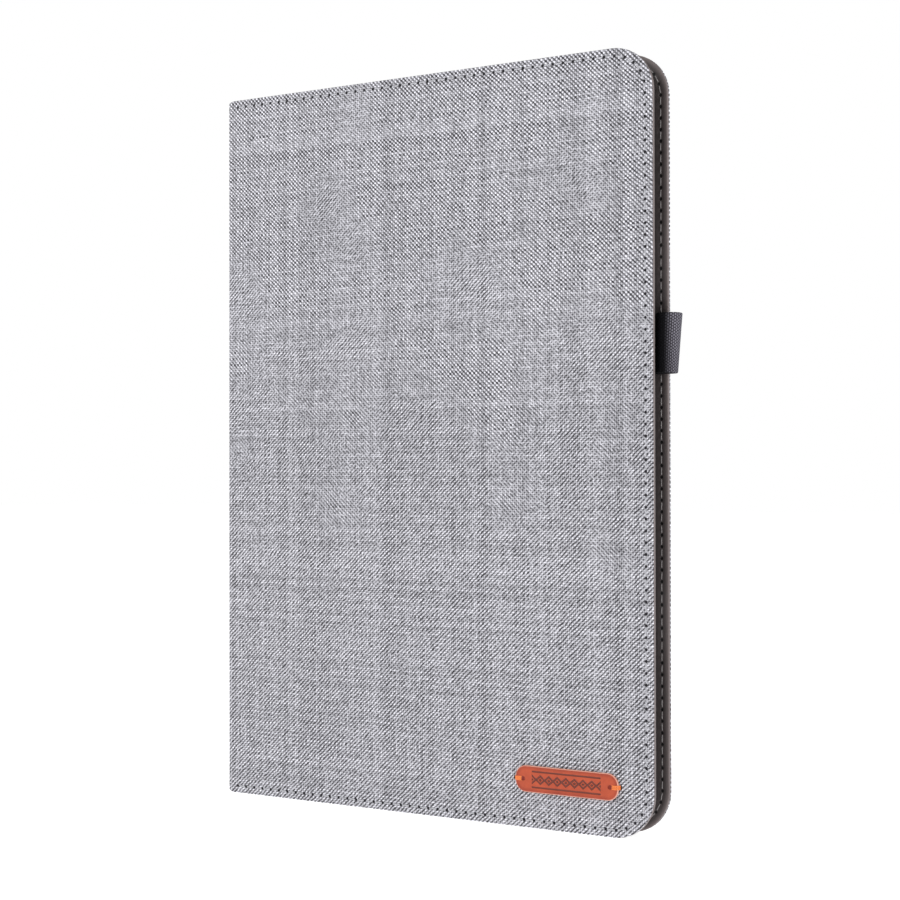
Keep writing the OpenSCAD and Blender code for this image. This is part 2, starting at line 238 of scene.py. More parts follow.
# %% [markdown]
# ### Any other node
# A material and a Geometry Nodes tree are both node trees, so one class serves both. Its node()
# method takes a node's type, its settings and the values or links of its sockets. That keeps a
# recipe to one line for each node, which could also be wired by hand in the node editor.


# %% Graph: a tree and a short way to add nodes
class Graph:
    """A node tree and a short way to add nodes: shader nodes by their short names."""

    def __init__(self, tree):
        self.tree = tree

    def node(self, kind, settings=None, output=0, **inputs):
        whole = kind.startswith(("Geometry", "Function"))
        made = self.tree.nodes.new(kind if whole else "ShaderNode" + kind)
        for name, value in (settings or {}).items():
            setattr(made, name, value)
        for name, value in inputs.items():
            socket = made.inputs[name.replace("_", " ")]
            if isinstance(value, Value):
                self.tree.links.new(value.socket, socket)
            else:
                socket.default_value = value
        return Value(self.tree, made.outputs[output])

    def parts(self, vector):
        split = self.node("SeparateXYZ", Vector=vector)
        return [Value(self.tree, socket) for socket in split.socket.node.outputs]

    def join(self, x, y, z=0.0):
        return self.node("CombineXYZ", X=x, Y=y, Z=z)


print("a tree can do:", ", ".join(name for name in vars(Graph) if not name.startswith("_")))

# %% [markdown]
# ### A finish
# Every finish of the case is one material with one Principled shader. What is the same all over
# goes straight onto the shader's sockets, and what changes over the surface is linked. Places are
# read in millimetres on the object, so a grain or a weave keeps its real scale on every piece.


# %% Finish: a material and its sockets
class Finish(Graph):
    """A material with one Principled shader, whose sockets take constants or expressions."""

    def __init__(self, name, roughness=0.6, **constants):
        self.material = bpy.data.materials.new(name)
        self.material.use_nodes = True
        super().__init__(self.material.node_tree)
        self.shader = self.tree.nodes["Principled BSDF"]
        self.shader.inputs["Roughness"].default_value = roughness
        for socket, value in constants.items():
            self.shader.inputs[socket.replace("_", " ")].default_value = value

    def place(self):
        """The point on the object, in millimetres."""
        where = self.node("TexCoord", output="Object")
        return self.node("VectorMath", {"operation": "SCALE"}, Vector=where, Scale=1 / MM)

    def map(self, name):
        return self.parts(self.node("UVMap", {"uv_map": name}))[:2]

    def noise(self, where, scale, detail=2.0):
        return self.node("TexNoise", Vector=where, Scale=scale, Detail=detail)

    def random(self, where):
        return self.node("TexWhiteNoise", {"noise_dimensions": "3D"}, Vector=where)

    def blend(self, mask, first, second):
        """One colour where mask is 0 and the other where it is 1."""
        mix = self.tree.nodes.new("ShaderNodeMix")
        mix.data_type = "RGBA"
        mask_at, first_at, second_at = mix.inputs[0], mix.inputs[6], mix.inputs[7]
        for socket, value in ((mask_at, mask), (first_at, first), (second_at, second)):
            if isinstance(value, Value):
                self.tree.links.new(value.socket, socket)
            elif isinstance(value, (int, float)):
                socket.default_value = value
            else:
                socket.default_value = (*value, 1.0)
        return Value(self.tree, mix.outputs[2])

    def set(self, **sockets):
        for name, value in sockets.items():
            self.tree.links.new(value.socket, self.shader.inputs[name.replace("_", " ")])
        return self

    def bump(self, height, depth, strength=1.0):
        """Raises the surface by height times depth millimetres."""
        raised = self.node("Bump", Height=height, Distance=depth * MM, Strength=strength)
        return self.set(Normal=raised)


print("a finish can do:", ", ".join(name for name in vars(Finish) if not name.startswith("_")))

# %% [markdown]
# ## The melange cloth
# The cloth is a plain weave: upright warp threads and level weft threads pass over and under
# each other, so every second crossing shows a warp thread and the others a weft thread. Each
# yarn is spun from light and dark fibres, and its tone drifts along its length, which gives the
# heathered look. A bitmap of cloth would repeat; counting threads never does. Seen from afar, the
# crossings line up on a slant, one way in the upper part of the cover and the other way lower
# down, so two slanting waves of tone are added.
# Painted shade darkens the gaps between the threads, the needle holes and the tacks' dents.

# %% Cloth finish
WARP_PITCH = 0.80
WEFT_PITCH = 0.74
HOLE_R = 0.62            # a needle hole's dark mark on the cloth and on the lining
# GAP_TONE is the darkest tone, where painted shade fills the gaps and the needle holes.
GAP_TONE = (0.022, 0.021, 0.025)
YARN_TONE = (0.90, 0.895, 0.965)
GAP_LIGHT = 0.20         # how light the gaps stay beside the threads' tops
TACK_DENT = (0.6, 0.9)   # half the size of the dark dent beyond each end of the label


def needle_holes(finish):
    """1 in a needle hole, at each whole number of the seam map, and 0 outside."""
    stitch, inset = finish.map("Seam")
    along = ((stitch + 0.5) % 1.0 - 0.5) * STITCH_PITCH
    across = inset - SEAM_INSET
    return (along * along + across * across).step(HOLE_R ** 2, 0.35 * HOLE_R ** 2)


def make_cloth():
    cloth = Finish("melange_cloth", roughness=0.92, Specular_IOR_Level=0.2)
    u, v = cloth.map("Weave")
    where = cloth.join(u, v)
    sway = cloth.noise(where, 0.09, detail=1.0)
    slack = cloth.noise(where, 0.35, detail=1.0)
    x = (u + sway * 0.9 + slack * 0.5) / WARP_PITCH
    y = (v + sway * 0.7 - slack * 0.5) / WEFT_PITCH
    column, row = x.floor(), y.floor()
    warp_up = (column + row) % 2.0
    dx, dy = x - column - 0.5, y - row - 0.5
    across = dy + warp_up * (dx - dy)
    along = dx + dy - across
    warp_draw = cloth.random(cloth.join(column, 0.5))
    weft_draw = cloth.random(cloth.join(0.5, row))
    width = 0.84 + 0.22 * (weft_draw + warp_up * (warp_draw - weft_draw))
    crown = 1 - (across * across) * 4 / (width * width)
    arch = 1 - along * along * 2.4
    height = crown.most(0.0) * (0.35 + 0.65 * arch) * (0.62 + 0.38 * warp_up)
    warp_drift = cloth.noise(cloth.join(column * 5.3, v * 0.3), 1.0, detail=2.0)
    weft_drift = cloth.noise(cloth.join(u * 0.3, row * 5.3, 9.0), 1.0, detail=2.0)
    warp_tone = 0.29 + warp_draw * 0.16 + warp_drift * 0.50
    weft_tone = 0.07 + weft_draw * 0.20 + weft_drift * 0.50
    tone = weft_tone + warp_up * (warp_tone - weft_tone)
    fleck = cloth.random(cloth.join(column, row, 3.0))
    upper_slant = ((x + y) * math.pi).maths("COSINE") * 0.289
    lower_slant = ((x - y) * math.pi).maths("COSINE") * 0.483
    height_share = v / HEIGHT
    patches = cloth.noise(where, 0.03, detail=1.0)
    upper = (patches * 0.6 + height_share * 0.41).step(0.46, 0.66)
    slant = lower_slant + upper * (upper_slant - lower_slant)
    yarn = tone + fleck * 0.32 + slant - 0.175
    # Painted shade: the low gaps between the threads keep only GAP_LIGHT of the yarn's tone.
    lit = height.step(0.0, 0.55)
    # Painted shade in the needle holes and in the dents where the label's tacks pull the cloth.
    tack_u = ((u - (LABEL_X - X_PANEL)).size() - LABEL_HALF - 0.55) / TACK_DENT[0]
    tack_v = (v - LABEL_Z) / TACK_DENT[1]
    holes = needle_holes(cloth).most((tack_u * tack_u + tack_v * tack_v).step(1.2, 0.4))
    value = yarn.most(0.03) * (GAP_LIGHT + (1 - GAP_LIGHT) * lit) * (1 - holes)
    cloth.set(Base_Color=cloth.blend(value, GAP_TONE, YARN_TONE))
    cloth.bump(height - holes * 1.5, 0.28, strength=0.8)
    return cloth.material


CLOTH = make_cloth()
print("cloth finish:", len(CLOTH.node_tree.nodes), "nodes")

# %% [markdown]
# ## The lining's finish
# The lining is a matt coated sheet with a fine pressed grain. The grain is made of Voronoi cells,
# which suit it better than plain noise, because each cell is a small dimple with a raised border.
# The lining's turned edge is painted paler, as a painted highlight where light falls on its
# round, and its needle holes are painted near black, as painted shade.


# %% Lining finish
def make_lining():
    lining = Finish("leather_look_lining", roughness=0.55, Specular_IOR_Level=0.35)
    where = lining.place()
    cells = lining.node("TexVoronoi", Vector=where, Scale=1.15)
    fine = lining.noise(where, 3.0, detail=3.0)
    patches = lining.noise(where, 0.05, detail=2.0)
    _, inset = lining.map("Seam")
    holes = needle_holes(lining)
    # Painted highlight on the turned edge, and painted shade in the needle holes below.
    edge = inset.step(1.8, 0.3) * (0.75 + 0.5 * fine)
    tone_mask = 0.25 + 0.5 * patches + 0.35 * fine
    body = lining.blend(tone_mask, (0.045, 0.037, 0.0365), (0.085, 0.071, 0.070))
    shade = lining.blend(edge, body, (0.165, 0.138, 0.136))
    lining.set(Base_Color=lining.blend(holes, shade, (0.004, 0.004, 0.004)),
               Roughness=0.5 + 0.16 * fine)
    lining.bump(cells * 0.8 + fine * 0.5 - holes * 2.0, 0.06, strength=0.7)
    return lining.material


LINING = make_lining()
print("lining finish:", len(LINING.node_tree.nodes), "nodes")

# %% [markdown]
# ## Threads
# Sewing thread is twisted from plies, which show as slanting bands along each stitch. The bands
# are a stripe that runs across all three axes at once, so it slants on a stitch in any direction.


# %% Thread finishes
def make_thread(name, dark, light):
    thread = Finish(name, roughness=0.7)
    where = thread.place()
    x, y, z = thread.parts(where)
    twist = ((x + y + z) * 2.6) % 1.0
    ply = twist.step(0.0, 0.35) * twist.step(1.0, 0.65)
    fuzz = thread.noise(where, 4.0)
    thread.set(Base_Color=thread.blend(ply * 0.7 + fuzz * 0.4, dark, light))
    thread.bump(ply, 0.05)
    return thread.material


SEAM_THREAD = make_thread("seam_thread", (0.20, 0.20, 0.215), (0.62, 0.62, 0.66))
LINING_THREAD = make_thread("lining_thread", (0.10, 0.095, 0.095), (0.34, 0.32, 0.32))
TACK_THREAD = make_thread("tack_thread", (0.62, 0.10, 0.020), (1.0, 0.30, 0.075))
print("threads:", SEAM_THREAD.name, LINING_THREAD.name, TACK_THREAD.name)

# %% [markdown]
# ## The label's leather
# The label is smooth red-brown leather, cloudy, with painted shade that darkens it towards its
# rim.
# Its stamped lines are burnt darker and pressed in, and a painted highlight makes the cut rim
# pale.
# The dark dimple where each tack pulls the leather is painted shade. The lines could be cut into
# the mesh, but a mask that darkens and lowers the face is enough for lines this fine.


# %% Label leather
def label_stamp(u, v):
    """1 on the stamped lines: diamonds with a dot in each, between two rules."""
    diamond = ((u + 1.6) % 3.2 - 1.6).size() * 0.85 + v.size()
    outline = (diamond - 1.3).size().step(0.46, 0.26)
    dot = diamond.step(0.62, 0.36)
    rule = (v.size() - 2.6).size().step(0.32, 0.16)
    return outline.most(dot).most(rule) * u.size().step(12.9, 12.7)


def make_label_leather():
    leather = Finish("label_leather", roughness=0.45, Specular_IOR_Level=0.35)
    where = leather.place()
    u, v = leather.map("Weave")
    _, inset = leather.map("Seam")
    stamp = label_stamp(u, v)
    # Painted shade in the dimple beside each tack, where the thread pulls the leather in.
    pinch_u, pinch_v = (u.size() - LABEL_HALF + 2.9) / 0.85, v / 0.75
    pinch = (pinch_u * pinch_u + pinch_v * pinch_v).step(1.2, 0.3)
    cloudy = leather.noise(where, 0.22, detail=3.0)
    pores = leather.node("TexVoronoi", Vector=where, Scale=3.2)
    fine = leather.noise(where, 6.0, detail=2.0)
    # Cloudy tone, and painted shade that darkens the leather towards its rim.
    tone_mask = cloudy * 0.9 + fine * 0.3 - inset.step(1.7, 0.5) * 0.4
    tan = leather.blend(tone_mask, (0.30, 0.040, 0.017), (0.56, 0.092, 0.032))
    # A painted highlight along the cut rim.
    painted_rim_highlight = leather.blend(inset.step(0.34, 0.12) * 0.8, tan, (0.80, 0.42, 0.32))
    pressed = leather.blend(stamp * 0.9, painted_rim_highlight, (0.105, 0.025, 0.018))
    leather.set(Base_Color=leather.blend(pinch, pressed, (0.20, 0.012, 0.004)),
                Roughness=0.40 + 0.22 * fine)
    leather.bump(pores * 0.4 + fine * 0.3 - stamp * 5.0 - pinch * 8.0, 0.05, strength=1.0)
    return leather.material


LABEL_LEATHER = make_label_leather()
print("label leather:", len(LABEL_LEATHER.node_tree.nodes), "nodes")

# %% [markdown]
# ## The elastic
# The pen loop's elastic is dark, with fine ribs across the band, and each rib is a row of small
# knots where a weft thread crosses it. The "Weave" map counts the ribs, so the pattern stays on
# the ribs of the mesh. The band is painted nearly black beside the case, as painted shade from
# the covers, and greyer further out.


# %% Elastic finish
def make_elastic():
    elastic = Finish("ribbed_elastic", roughness=0.85, Specular_IOR_Level=0.12)
    rib, z = elastic.map("Weave")
    across = rib % 1.0
    ridge = across.step(0.0, 0.3) * across.step(1.0, 0.7)
    weft = (z * 1.05 + (rib.floor() % 2.0) * 0.5) % 1.0
    knot = weft.step(0.0, 0.3) * weft.step(0.95, 0.65)
    fuzz = elastic.noise(elastic.place(), 3.0, detail=3.0)
    x, _, _ = elastic.parts(elastic.place())
    # Painted shade: the band darkens towards the case, where the covers shade it.
    painted_cover_shade = 0.02 + 0.98 * (x - X_OPEN).step(2.0, 5.8)
    tone = ridge * (0.12 + 0.88 * knot) * (0.6 + 0.8 * fuzz) * painted_cover_shade
    elastic.set(Base_Color=elastic.blend(tone, (0.003, 0.003, 0.004), (0.200, 0.190, 0.226)))
    elastic.bump(ridge + knot * 0.8, 0.10)
    return elastic.material


ELASTIC = make_elastic()
print("elastic finish:", len(ELASTIC.node_tree.nodes), "nodes")

# %% [markdown]
# ## Cover sheets
# Both covers are the same kind of thing: an outline with two round corners, and a section that
# says how the sheet goes from its hidden side round the edge to its face. Sweeping the section
# round the outline gives the edge, the stitched channel and the small dimple at every needle
# hole as real shape, and the flat middle is closed by one face. A rectangle with a bevel would
# have none of that.

# %% Outline of a cover
STEP = STITCH_PITCH / 4      # four points to a stitch, so that each dimple has a shape


def spread(start, end):
    """Evenly spaced values from start to end, about STEP apart."""
    return np.linspace(start, end, max(2, round(abs(end - start) / STEP) + 1))


def open_outline(x0, inset):
    """Points (x, z) round the three free edges, from the bottom at x0 to the top at x0."""
    right, corner = X_OPEN - inset, X_OPEN - CORNER_R
    radius = CORNER_R - inset
    turn = np.linspace(-math.pi / 2, 0, 25)
    bottom = [(x, inset) for x in spread(x0, corner)]
    low_corner = [(corner + radius * math.cos(a), CORNER_R + radius * math.sin(a))
                  for a in turn[1:-1]]
    side = [(right, z) for z in spread(CORNER_R, HEIGHT - CORNER_R)]
    half = bottom + low_corner + side[: len(side) // 2]
    rest = [(x, HEIGHT - z) for x, z in reversed(bottom + low_corner)]
    return half + side[len(side) // 2:] + rest


def stitch_count(length):
    return max(1, round(length / STITCH_PITCH))


def along_path(points):
    """How far along the path each point is, in stitches. Needle holes are at whole numbers, and
    the first and last are half a stitch from the ends."""
    steps = np.linalg.norm(np.diff(np.array(points, float), axis=0), axis=1)
    travelled = np.concatenate([[0], np.cumsum(steps)])
    return travelled / travelled[-1] * stitch_count(travelled[-1]) - 0.5


print("outline of the front cover:", len(open_outline(X_PANEL, 0)), "points")

# %% [markdown]
# ### The section at the edge
# At a free edge the cloth turns round the board and the seam draws it in: a shallow channel with
# a deeper dimple at every needle hole. The lining's section goes the same way from the inside,
# round the turned edge that shows as a narrow band.


# %% Sections of the cloth and the lining
def channel(inset, stitches, depth):
    """How far the seam pulls the face down, deepest at the needle holes."""
    reach = math.exp(-((inset - SEAM_INSET) / 0.55) ** 2)
    return depth * reach * (0.55 + 0.45 * math.cos(2 * math.pi * stitches))


FACE_INSETS = (0.8, 1.4, 1.9, 2.25, 2.6, 2.95, 3.4, 4.2, 6.0, 9.0, 12.5)
HALF_T = FABRIC_T / 2
CLOTH_SECTION = [(6.0, FABRIC_T - 0.01)]
CLOTH_SECTION += [(HALF_T - HALF_T * math.cos(a), HALF_T - HALF_T * math.sin(a))
                  for a in np.linspace(math.radians(-80), math.pi / 2, 7)]
CLOTH_SECTION += [(inset, 0.0) for inset in FACE_INSETS]


def lining_section(inner):
    """From the board, round the paler turned edge, to the lining's face at depth inner."""
    edge_r = 0.45
    return ([(6.0, BOARD_DEPTH), (EDGE_W, BOARD_DEPTH), (EDGE_W - 0.05, FABRIC_T + 0.02),
             (0.6, FABRIC_T + 0.01), (0.22, FABRIC_T + 0.06), (0.04, FABRIC_T + 0.3)]
            + [(edge_r - edge_r * math.cos(a), inner - edge_r + edge_r * math.sin(a))
               for a in np.linspace(0, math.pi / 2, 5)]
            + [(inset, inner) for inset in FACE_INSETS])


print("cloth section:", len(CLOTH_SECTION), "points, lining's:", len(lining_section(COVER_T)))

# %% [markdown]
# ### Panels with round corners, and strips
# A panel is the section swept round the open outline. A strip, such as the spine or a crease,
# is the same section at its bottom and top edges, swept along a path in plan. The flat-cloth
# coordinate runs on from the front cover over the creases and the spine to the rear cover, so
# the threads line up across every joint.

# %% Panel and strip makers


def front_face(x, z, depth):
    return (x, Y_FRONT + depth, z)


def rear_face(x, z, depth):
    return (x, Y_REAR - depth, z)


def panel(name, x0, section, face, finish, sign, pull, u_start=0.0, u_way=1):
    """A closed sheet. sign is 1 where the channel deepens with depth and -1 where it rises."""
    stitches = along_path(open_outline(x0, SEAM_INSET))
    points, weave, seam = [], [], []
    for inset, depth in section:
        for (x, z), s in zip(open_outline(x0, inset), stitches):
            dip = sign * channel(inset, s, pull) if inset < 6 else 0.0
            points.append(face(x, z, depth + dip))
            weave.append((u_start + u_way * (x - x0), z))
            seam.append((s, inset))
    count, rows = len(stitches), len(section)
    faces = bridge(rows, count)
    faces.append(list(range(count))[::-1])
    faces.append(list(range((rows - 1) * count, rows * count)))
    faces.append([r * count for r in range(rows)]
                 + [r * count + count - 1 for r in reversed(range(rows))])
    return outward(mesh_piece(name, points, faces, finish, weave, seam))


def strip(name, path, section, finish, sign, pull, u_start=0.0, tuck=None):
    """path holds (x, y, nx, ny): a point of the face in plan and the direction into the sheet."""
    plan = np.array([p[:2] for p in path], float)
    stitches = along_path(plan)
    lengths = np.concatenate([[0], np.cumsum(np.linalg.norm(np.diff(plan, axis=0), axis=1))])
    loop = [(inset, depth, 0) for inset, depth in section]
    loop += [(inset, depth, 1) for inset, depth in reversed(section)]
    points, weave, seam = [], [], []
    for inset, depth, top in loop:
        for i, (x, y, nx, ny) in enumerate(path):
            dip = sign * channel(inset, stitches[i], pull) if inset < 6 else 0.0
            drawn = inset + (tuck[i] if tuck is not None else 0.0)
            z = HEIGHT - drawn if top else drawn
            points.append((x + nx * (depth + dip), y + ny * (depth + dip), z))
            weave.append((u_start - lengths[i], z))
            seam.append((stitches[i], inset))
    count, rows = len(path), len(loop)
    faces = bridge(rows, count, closed=True)
    faces.append([r * count for r in range(rows)])
    faces.append([r * count + count - 1 for r in reversed(range(rows))])
    return outward(mesh_piece(name, points, faces, finish, weave, seam)), lengths[-1]


print("faces at y", [round(face(0, 0, 0)[1], 2) for face in (front_face, rear_face)])

# %% [markdown]
# ### Paths for the folds
# At the spine the cloth turns a corner, first at the front and then at the rear. In plan each
# fold is a short straight leg, a quarter turn and another leg, and the lining follows it on the
# inside. The paths are worked out as points, because the sheet has to meet its neighbours exactly.

# %% Paths in plan
X_HINGE = X_SPINE + FOLD_R
CLOTH_PULL = 0.20
LINING_PULL = 0.16


def fold_path(rear):
    """Round the outside corner, from the panel to the spine, at the front or at the rear."""
    y_face, y_spine = (Y_REAR, Y_SPINE_REAR) if rear else (Y_FRONT, Y_SPINE_FRONT)
    inward = -1 if rear else 1
    centre_y = y_face + inward * FOLD_R
    leg = [(x, y_face, 0, inward) for x in np.linspace(X_PANEL, X_HINGE, 5)]
    bend = [(X_HINGE - FOLD_R * math.sin(a), centre_y - inward * FOLD_R * math.cos(a),
             math.sin(a), inward * math.cos(a)) for a in np.linspace(0, math.pi / 2, 9)[1:]]
    down = [(X_SPINE, y, 1, 0) for y in np.linspace(centre_y, y_spine, 5)[1:]]
    return leg + bend + down


def lined_fold(path, rear):
    """The same path, but each point's direction leads to the lining's face in the inside corner
    once it is followed for COVER_T."""
    inward = -1 if rear else 1
    radius = X_PANEL - (X_SPINE + COVER_T)
    centre_y = (Y_REAR if rear else Y_FRONT) + inward * (COVER_T + radius)
    lined = []
    for (x, y, _, _), a in zip(path, np.linspace(0, math.pi / 2, len(path))):
        inner_x = X_PANEL - radius * math.sin(a)
        inner_y = centre_y - inward * radius * math.cos(a)
        lined.append((x, y, (inner_x - x) / COVER_T, (inner_y - y) / COVER_T))
    return lined


def straight(start, end, step=STEP):
    """A straight path in plan between two (x, y, nx, ny) ends."""
    a, b = np.array(start, float), np.array(end, float)
    length = np.linalg.norm(b[:2] - a[:2])
    count = max(2, round(length / step) + 1)
    return [tuple(a + (b - a) * t) for t in np.linspace(0, 1, count)]


def hug(path):
    """How far the cloth's ends draw in over a fold: most in the middle and nothing at the ends."""
    t = np.linspace(0, 1, len(path))
    return 0.7 * np.sin(math.pi * t) ** 2


print("a fold's path has", len(fold_path(False)), "points")

# %% [markdown]
# ### The cloth, all round the case
# The cloth is followed from the front cover's panel over the front crease, the spine, the rear
# crease and the fixed half of the rear cover to the stand. Each joint needs its own piece.

# %% Cloth pieces
front_fold, rear_fold = fold_path(False), fold_path(True)
spine_path = straight((X_SPINE, Y_SPINE_FRONT, 1, 0), (X_SPINE, Y_SPINE_REAR, 1, 0))
fixed_path = straight((X_PANEL, Y_REAR, 0, -1), (X_FIXED_END, Y_REAR, 0, -1))
stand_fold = straight((X_FIXED_END, Y_REAR, 0, -1), (X_STAND, Y_REAR, 0, -1), step=0.26)

cloth = {"front_cover": panel("cloth_front_cover", X_PANEL, CLOTH_SECTION, front_face, CLOTH, 1,
                              CLOTH_PULL)}
flat_u = 0.0
for name, path, pull, tuck in (
        ("crease_front", front_fold, 0, hug(front_fold)),
        ("spine", spine_path, CLOTH_PULL, None),
        ("crease_rear", rear_fold[::-1], 0, hug(rear_fold)),
        ("rear_cover", fixed_path, CLOTH_PULL, None),
        ("crease_stand", stand_fold, 0, None)):
    cloth[name], run = strip("cloth_" + name, path, CLOTH_SECTION, CLOTH, 1, pull, flat_u, tuck)
    flat_u -= run
cloth["stand"] = panel("cloth_stand", X_STAND, CLOTH_SECTION, rear_face, CLOTH, 1, CLOTH_PULL,
                       flat_u, -1)
print("flat cloth width", round(X_OPEN - X_PANEL - flat_u + X_OPEN - X_STAND, 1))

# %% [markdown]
# ### The lining
# The dark lining follows the same paths on the inside. Its band goes round the edges of the
# boards, so from the side it is the narrow brownish line between the cloth and the dark gap. The
# stand's lining is thinner, because it slides over the tray's back when it folds.

# %% Lining pieces
INSIDE = lining_section(COVER_T)
STAND_INSIDE = lining_section(STAND_T)

lining = {"front_cover": panel("lining_front_cover", X_PANEL, INSIDE, front_face, LINING, -1,
                               LINING_PULL)}
for name, path, section, pull in (
        ("crease_front", lined_fold(front_fold, False), INSIDE, 0),
        ("spine", spine_path, INSIDE, LINING_PULL),
        ("crease_rear", lined_fold(rear_fold, True), INSIDE, 0),
        ("rear_cover", fixed_path, INSIDE, LINING_PULL),
        ("crease_stand", stand_fold, STAND_INSIDE, 0)):
    lining[name], _ = strip("lining_" + name, path, section, LINING, -1, pull)
lining["stand"] = panel("lining_stand", X_STAND, STAND_INSIDE, rear_face, LINING, -1, LINING_PULL)
print("lining pieces:", ", ".join(lining))

# %% [markdown]
# ### The camera window
# The stand has an upright slot with round ends, so that the tablet's camera can see out. It goes
# through the cloth and the lining alike, and a Boolean cuts both with one cutter, which keeps the
# two edges of the slot in line.


# %% Camera window
def stadium(x, z, width, height, steps=16):
    """Outline points (x, z) of an upright slot with round ends."""
    radius, straight_half = width / 2, (height - width) / 2
    ends = []
    for sign, turn in ((1, 0), (-1, math.pi)):
        ends += [(x + radius * math.cos(a + turn), z + sign * straight_half
                  + radius * math.sin(a + turn)) for a in np.linspace(0, math.pi, steps)]
    return ends


def stacked(name, rings, finish=None, weave=None, seam=None, sharp=50):
    """A closed solid through rings of points; a ring is an outline of (x, z) and its y."""
    points = [(x, y, z) for outline, y in rings for x, z in outline]
    count = len(rings[0][0])
    faces = bridge(len(rings), count, ring=True)
    faces.append(list(range(count))[::-1])
    faces.append(list(range(count * (len(rings) - 1), count * len(rings))))
    return outward(mesh_piece(name, points, faces, finish, weave, seam), sharp)


window_outline = stadium(X_OPEN - 22, HEIGHT - 27, 12, 26)
cutter = stacked("window_cutter", [(window_outline, Y_REAR - 5), (window_outline, Y_REAR + 5)])
for sheet in (cloth["stand"], lining["stand"]):
    cut = sheet.modifiers.new("window", "BOOLEAN")
    cut.operation = "DIFFERENCE"
    cut.solver = "EXACT"
    cut.object = cutter
    settle(sheet)
    sheet.data.set_sharp_from_angle(angle=math.radians(50))
bpy.data.objects.remove(cutter)
print("stand cloth after the window:", len(cloth["stand"].data.vertices), "points")

# %% [markdown]
# ### What each sheet rides on
# A sheet over a board rides on its body. A crease is baked where it lies, and the CAD nodes that
# it replaces are hidden.

# %% Rides and blends
def layers(node):
    """The cloth and the lining of one place, with the CAD nodes that they replace."""
    return ((cloth[node], node + "_fabric", "cover_fabric"),
            (lining[node], node + "_lining", "lining"))


def at(x, y):
    """A point in metres, halfway up, for the end of a blend."""
    return (x * MM, y * MM, HEIGHT / 2 * MM)


for node, body in (("front_cover", "front_cover"), ("spine", "spine"),
                   ("rear_cover", "rear_half"), ("stand", "stand")):
    for piece, replaced, look in layers(node):
        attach(piece, body)
        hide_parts(replaced)

CREASE = X_PANEL - X_SPINE
for node, first, second, start, end in (
        ("crease_front", "spine", "front_cover", at(X_SPINE, Y_FRONT + CREASE),
         at(X_PANEL, Y_FRONT)),
        ("crease_rear", "rear_half", "spine", at(X_PANEL, Y_REAR), at(X_SPINE, Y_REAR - CREASE)),
        ("crease_stand", "rear_half", "stand", at(X_FIXED_END, Y_REAR), at(X_STAND, Y_REAR))):
    for piece, replaced, look in layers(node):
        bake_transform(piece)
        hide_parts(replaced)
print(len(cloth), "cloth and", len(lining), "lining pieces; creases", round(CREASE, 2), "mm wide")

# %% [markdown]
# ## Stitches
# A stitch is a short strand that dives into the cloth at both ends, and the seam has hundreds of
# them. One Geometry Nodes tree makes a strand from named sizes and sets it on a point for every
# stitch, turned along the seam and a little at random. The seed is fixed. The bar tacks on the
# label are the same strands, laid side by side.

# %% Stitch tree
def make_stitch_tree():
    tree = bpy.data.node_groups.new("Stitches", "GeometryNodeTree")
    tree.is_modifier = True
    tree.interface.new_socket("Points", in_out="INPUT", socket_type="NodeSocketGeometry")
    for name, kind in (("Length", "Float"), ("Thickness", "Float"), ("Dive", "Float"),
                       ("Sway", "Float"), ("Seed", "Int"), ("Thread", "Material")):
        tree.interface.new_socket(name, in_out="INPUT", socket_type="NodeSocket" + kind)
    tree.interface.new_socket("Stitches", in_out="OUTPUT", socket_type="NodeSocketGeometry")
    inputs = tree.nodes.new("NodeGroupInput").outputs
    given = {socket.name: Value(tree, socket) for socket in inputs}
    graph = Graph(tree)
    half = given["Length"] / 2
    line = graph.node("GeometryNodeCurvePrimitiveLine", Start=graph.join(half * -1, 0, 0),
                      End=graph.join(half, 0, 0))
    line = graph.node("GeometryNodeResampleCurve", Curve=line, Count=11)
    x, _, _ = graph.parts(graph.node("GeometryNodeInputPosition"))
    square = (x / half) * (x / half)
    drop = square * square * given["Dive"] * -1
    line = graph.node("GeometryNodeSetPosition", Geometry=line, Offset=graph.join(0, 0, drop))
    ring = graph.node("GeometryNodeCurvePrimitiveCircle", Resolution=8,
                      Radius=given["Thickness"] / 2)
    strand = graph.node("GeometryNodeCurveToMesh", Curve=line, Profile_Curve=ring, Fill_Caps=True)
    lie = graph.node("FunctionNodeAxesToRotation",
                     {"primary_axis": "Z", "secondary_axis": "X"},
                     Primary_Axis=graph.node("GeometryNodeInputNamedAttribute",
                                             {"data_type": "FLOAT_VECTOR"}, Name="up"),
                     Secondary_Axis=graph.node("GeometryNodeInputNamedAttribute",
                                               {"data_type": "FLOAT_VECTOR"}, Name="along"))
    sway = graph.join(given["Sway"] * 0.5, given["Sway"] * 0.3, given["Sway"])
    turn = graph.node("FunctionNodeRandomValue", {"data_type": "FLOAT_VECTOR"},
                      Min=graph.node("VectorMath", {"operation": "SCALE"}, Vector=sway, Scale=-1),
                      Max=sway, Seed=given["Seed"])
    turn = graph.node("FunctionNodeEulerToRotation", Euler=turn)
    lie = graph.node("FunctionNodeRotateRotation", {"rotation_space": "LOCAL"},
                     Rotation=lie, Rotate_By=turn)
    placed = graph.node("GeometryNodeInstanceOnPoints", Points=given["Points"], Instance=strand,
                        Rotation=lie)
    real = graph.node("GeometryNodeRealizeInstances", Geometry=placed)
    real = graph.node("GeometryNodeSetShadeSmooth", Geometry=real)
    real = graph.node("GeometryNodeSetMaterial", Geometry=real, Material=given["Thread"])
    tree.links.new(real.socket, tree.nodes.new("NodeGroupOutput").inputs[0])
    return tree


STITCHES = make_stitch_tree()
print("stitch tree:", len(STITCHES.nodes), "nodes")

